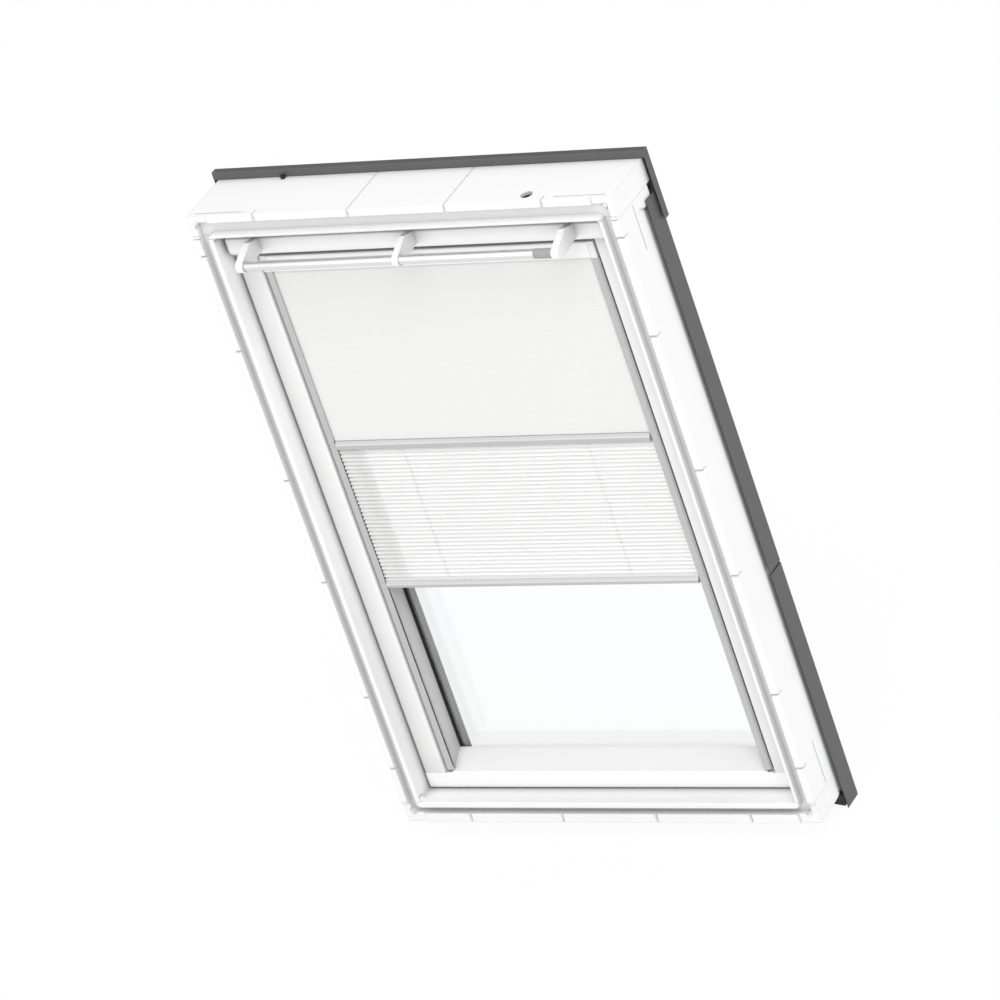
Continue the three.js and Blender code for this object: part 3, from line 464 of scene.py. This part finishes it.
finishes = {
    # The hollow values paint shade into the grooves, corners and gaps of the white finishes
    "white_moulding": paintedLook("mouldedPolyurethane", {
        "colour": grey(0.915), "shade": grey(0.895), "patchScale": 7, "grainScale": 700,
        "grain": 0.10, "roughness": 0.38, "roughSpread": 0.10, "specular": 0.5, "edge": 0.0022,
        "hollow": 0.57, "hollowReach": 0.022, "hollowFrom": 0.10, "hollowTo": 0.85}),
    "white_lacquer": paintedLook("whiteLacquer", dict(
        lacquer, hollow=0.64, hollowReach=0.075, hollowFrom=0.40, hollowTo=0.98)),
    # A paler copy of the lacquer for the sash's bottom member: painted light on its upward slope, with
    # painted shade only in its tight hollows
    "sill_lacquer": paintedLook("litSillLacquer", dict(
        lacquer, colour=grey(0.95), shade=grey(0.94), hollow=0.60, hollowReach=0.020, hollowFrom=0.20,
        hollowTo=0.90)),
    # A copy of the lacquer with much stronger painted shade, for the blind casing and the ventilation flap
    # under the sash head
    "shaded_lacquer": paintedLook("shadedLacquer", dict(
        lacquer, hollow=0.42, hollowReach=0.050, hollowFrom=0.20, hollowTo=0.80)),
    "grey_cladding": paintedLook("powderCoatedSheet", {
        "colour": grey(0.097), "shade": grey(0.107), "patchScale": 12, "grainScale": 1300,
        "grain": 0.28, "roughness": 0.46, "roughSpread": 0.10, "specular": 0.45, "edge": 0.0010}),
    "satin_aluminium": brushedLook("satinAluminium", aluminium),
    "bright_aluminium": brushedLook("brightAluminium", dict(
        aluminium, colour=grey(0.80), shade=grey(0.76), roughness=0.18)),
    "dark_rubber": rubberLook("weatherRubber", dict(
        rubber, colour=grey(0.012), shade=grey(0.020), roughness=0.62)),
    # A mid-grey rubber, paler than the black weather rubber, so that the gap between sash and frame shows a
    # lighter tone: painted light
    "seal_rubber": rubberLook("gapRubber", dict(
        rubber, colour=grey(0.22), shade=grey(0.27), roughness=0.7)),
    "grey_plastic": paintedLook("greyPlastic", {
        "colour": grey(0.36), "shade": grey(0.33), "patchScale": 20, "grainScale": 900,
        "grain": 0.15, "roughness": 0.42, "roughSpread": 0.10, "specular": 0.45, "edge": 0.0005}),
    "clear_glass": glassLook("clearGlass", {
        "colour": (0.995, 0.998, 1.0, 1), "shade": (0.99, 0.995, 1.0, 1), "bend": 1.46,
        "patchScale": 2.0, "grain": 0.02}),
    "spacer_metal": spacerLook("spacerMetal", {
        "colour": grey(0.56), "shade": grey(0.62), "rows": 38, "metallic": 0.3, "roughness": 0.5,
        "grain": 0.3}),
    "zinc_steel": brushedLook("zincSteel", {
        "colour": grey(0.55), "shade": grey(0.44), "grainScale": 180, "along": (1, 1, 1),
        "metallic": 1.0, "roughness": 0.42, "roughSpread": 0.12, "grain": 0.12, "edge": 0.0004}),
    "blackout_cloth": clothLook("blackoutCloth", {
        "colour": grey(0.80, 0.004), "shade": grey(0.78, 0.004), "threads": 420, "waver": 0.4,
        "slub": 60, "weaveShade": 0.3, "roughness": 0.85, "sheen": 0.15, "relief": 0.10}),
    "pleated_cloth": clothLook("pleatedCloth", {
        "colour": grey(0.985, 0.003), "shade": grey(0.97, 0.003), "threads": 360, "waver": 0.5,
        "slub": 50, "weaveShade": 0.3, "roughness": 0.8, "sheen": 0.2, "relief": 0.12, "cover": 0.57}),
    "filter_foam": foamLook("filterFoam", {
        "colour": grey(0.20), "shade": grey(0.42), "cells": 900, "roughness": 0.95, "grain": 0.6}),
}

slotOfNode = {}
for entry in frame["record"]["materials"]:
    for nodeName in entry.get("nodes", []):
        slotOfNode[nodeName] = entry["slot"]


finishOfNode = {       # nodes whose finish differs from the rest of their slot
    # the seal, sash bottom, casing and flap get copies that paint light and shade onto them
    "frame_seal": "seal_rubber",
    "sash_bottom": "sill_lacquer",
    "blind_casing": "shaded_lacquer",
    "ventilation_flap": "shaded_lacquer",
}


def dressNodes():
    for nodeName, node in frame["nodes"].items():
        slotName = slotOfNode.get(nodeName)
        if slotName is None and node.material_slots:
            slotName = node.material_slots[0].material.name.split(".")[0]
        slotName = finishOfNode.get(nodeName, slotName)
        if slotName not in finishes:
            print("no finish for", nodeName, slotName)
            continue
        if node.material_slots:
            node.material_slots[0].material = finishes[slotName]
        else:
            node.data.materials.append(finishes[slotName])


dressNodes()
print("finishes on the frame's nodes")


# Gives each corner its place on the flat cloth, in metres
def addUv(piece, flatPlace):
    mesh = piece.data
    layer = mesh.uv_layers.get("UVMap") or mesh.uv_layers.new(name="UVMap")
    for loop in mesh.loops:
        layer.data[loop.index].uv = flatPlace(mesh.vertices[loop.vertex_index])


# A flat cloth that stands between the corners of a box, left in edit mode
def uprightGrid(name, values, rows, low, high):
    deselectAll()
    bpy.ops.mesh.primitive_grid_add(x_subdivisions=values["columns"], y_subdivisions=rows,
                                    size=1, location=(0, 0, 0))
    cloth = named(name)
    bpy.ops.object.mode_set(mode="EDIT")
    bpy.ops.mesh.select_all(action="SELECT")
    bpy.ops.transform.rotate(value=-math.pi / 2, orient_axis="X", center_override=(0, 0, 0))
    bpy.ops.transform.resize(value=(values["width"], 1, high.z - low.z), center_override=(0, 0, 0))
    bpy.ops.transform.translate(value=(0, (low.y + high.y) / 2, (low.z + high.z) / 2))
    return cloth


blackout = {
    "width": 0.5905,
    "thickness": 0.0006,
    "rows": 40,
    "columns": 60,
    "smoothAngle": 30,
    "bendFrom": 1.10,     # height above which the cloth stays with the sash
}


def makeBlackoutCloth():
    low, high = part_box("blackout_fabric")
    cloth = uprightGrid("blackoutCloth", blackout, blackout["rows"], low, high)
    bpy.ops.object.mode_set(mode="OBJECT")
    addUv(cloth, lambda point: (point.co.x, point.co.z))
    finishWith(cloth, "SOLIDIFY", "clothThickness", thickness=blackout["thickness"], offset=0)
    settle(cloth, blackout["smoothAngle"])
    cloth.data.materials.append(finishes["blackout_cloth"])
    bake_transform(cloth)
    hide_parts("blackout_fabric")
    return cloth


clothRoll = {
    "width": 0.589,
    "thickness": 0.0005,
    "turns": 4,
    "sides": 40,          # points in each turn
    "columns": 12,
}


# The cloth left on the tube: one long strip wound as a spiral
def makeClothRoll():
    low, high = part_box("fabric_roll")
    centre = (low + high) / 2
    outer = (high.z - low.z) / 2 - clothRoll["thickness"]
    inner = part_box("roller_tube")[1].z - centre.z + clothRoll["thickness"]
    rows = clothRoll["turns"] * clothRoll["sides"]
    deselectAll()
    bpy.ops.mesh.primitive_grid_add(x_subdivisions=clothRoll["columns"], y_subdivisions=rows,
                                    size=1, location=(0, 0, 0))
    roll = named("clothRoll")
    bpy.ops.object.mode_set(mode="EDIT")
    bpy.ops.mesh.select_all(action="SELECT")
    bpy.ops.transform.resize(value=(clothRoll["width"], 1, 1), center_override=(0, 0, 0))
    mesh = bmesh.from_edit_mesh(roll.data)
    for point in mesh.verts:
        share = point.co.y + 0.5
        angle = share * clothRoll["turns"] * 2 * math.pi
        radius = inner + (outer - inner) * share
        point.co.y = centre.y - radius * math.cos(angle)
        point.co.z = centre.z + radius * math.sin(angle)
    bmesh.update_edit_mesh(roll.data)
    bpy.ops.object.mode_set(mode="OBJECT")
    length = math.pi * (inner + outer) * clothRoll["turns"]
    across = clothRoll["columns"] + 1
    addUv(roll, lambda point: (point.index % across / clothRoll["columns"] * clothRoll["width"],
                               point.index // across / rows * length))
    finishWith(roll, "SOLIDIFY", "clothThickness", thickness=clothRoll["thickness"], offset=0)
    settle(roll, blackout["smoothAngle"])
    roll.data.materials.append(finishes["blackout_cloth"])
    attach(roll, "roller")
    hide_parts("fabric_roll")


makeBlackoutCloth()
makeClothRoll()
print("blackout cloth hung and wound")


pleated = {
    "width": 0.5865,
    "pitch": 0.0075,
    "depth": 0.0048,
    "thickness": 0.00035,
    "smoothAngle": 20,    # keeps the folds crisp
    "columns": 24,
    "cordRadius": 0.0006,
    "cordSides": 12,
    "cordSmoothAngle": 50,
    "cordRings": 40,      # lengths that let the cord follow both bars
}


def makePleatedCloth():
    low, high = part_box("pleated_fabric")
    height = high.z - low.z
    count = round(height / pleated["pitch"])
    cloth = uprightGrid("pleatedCloth", pleated, count * 2, low, high)
    fold = height / count / 2
    swing = (pleated["depth"] - pleated["thickness"]) / 2
    for side in (0, 1):                       # every other row of points goes forward, the rest back
        selectWhere(cloth, "VERT", lambda point: round((point.co.z - low.z) / fold) % 2 == side)
        bpy.ops.transform.translate(value=(0, swing if side else -swing, 0))
    bpy.ops.object.mode_set(mode="OBJECT")
    slope = math.hypot(fold, swing * 2)
    addUv(cloth, lambda point: (point.co.x, round((point.co.z - low.z) / fold) * slope))
    finishWith(cloth, "SOLIDIFY", "clothThickness", thickness=pleated["thickness"], offset=0)
    settle(cloth, pleated["smoothAngle"])
    cloth.data.materials.append(finishes["pleated_cloth"])
    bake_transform(cloth)
    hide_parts("pleated_fabric")


def makePleatCord(side):
    low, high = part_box(f"pleat_cord_{side}")
    deselectAll()
    bpy.ops.mesh.primitive_cylinder_add(vertices=pleated["cordSides"], radius=pleated["cordRadius"],
                                        depth=high.z - low.z, location=(low + high) / 2)
    cord = named(f"pleatCord{side.capitalize()}")
    bpy.ops.object.mode_set(mode="EDIT")
    for ring in range(1, pleated["cordRings"]):
        height = low.z + (high.z - low.z) * ring / pleated["cordRings"]
        bpy.ops.mesh.select_all(action="SELECT")
        bpy.ops.mesh.bisect(plane_co=(0, 0, height), plane_no=(0, 0, 1))
    settle(cord, pleated["cordSmoothAngle"])
    cord.data.materials.append(finishes["white_lacquer"])
    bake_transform(cord)
    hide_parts(f"pleat_cord_{side}")


makePleatedCloth()
for cordSide in ("left", "right"):
    makePleatCord(cordSide)
print("pleated cloth and cords strung")


controlBar = {
    "sides": 64,
    "endRound": 0.0012,
    "sleeveFrom": 0.2495,
    "sleeveTo": 0.2815,
    "sleeveWall": 0.00025,
    "sleeveRound": 0.0002,
    "roundSteps": 3,
    "sameX": 1e-5,
    "smoothAngle": 50,
}


# A round rod along X with softened ends
def makeRod(name, start, end, middleY, middleZ, radius, endRound):
    deselectAll()
    bpy.ops.mesh.primitive_cylinder_add(vertices=controlBar["sides"], radius=radius, depth=end - start,
                                        location=((start + end) / 2, middleY, middleZ),
                                        rotation=(0, math.pi / 2, 0))
    rod = named(name)
    bpy.ops.object.transform_apply(location=True, rotation=True, scale=True)
    selectWhere(rod, "EDGE",      # the rims of both ends
                lambda edge: abs(edge.verts[0].co.x - edge.verts[1].co.x) < controlBar["sameX"])
    bpy.ops.mesh.bevel(offset=endRound, segments=controlBar["roundSteps"], affect="EDGES")
    return settle(rod, controlBar["smoothAngle"])


def makeControlBar():
    low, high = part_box("control_bar")
    centre = (low + high) / 2
    radius = (high.z - low.z) / 2
    bar = makeRod("controlBar", low.x, high.x, centre.y, centre.z, radius, controlBar["endRound"])
    bar.data.materials.append(finishes["bright_aluminium"])
    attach(bar, "flap")
    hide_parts("control_bar")
    sleeve = makeRod("barSleeve", controlBar["sleeveFrom"], controlBar["sleeveTo"], centre.y, centre.z,
                     radius + controlBar["sleeveWall"], controlBar["sleeveRound"])
    sleeve.data.materials.append(finishes["grey_plastic"])
    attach(sleeve, "flap")


makeControlBar()
print("control bar turned")
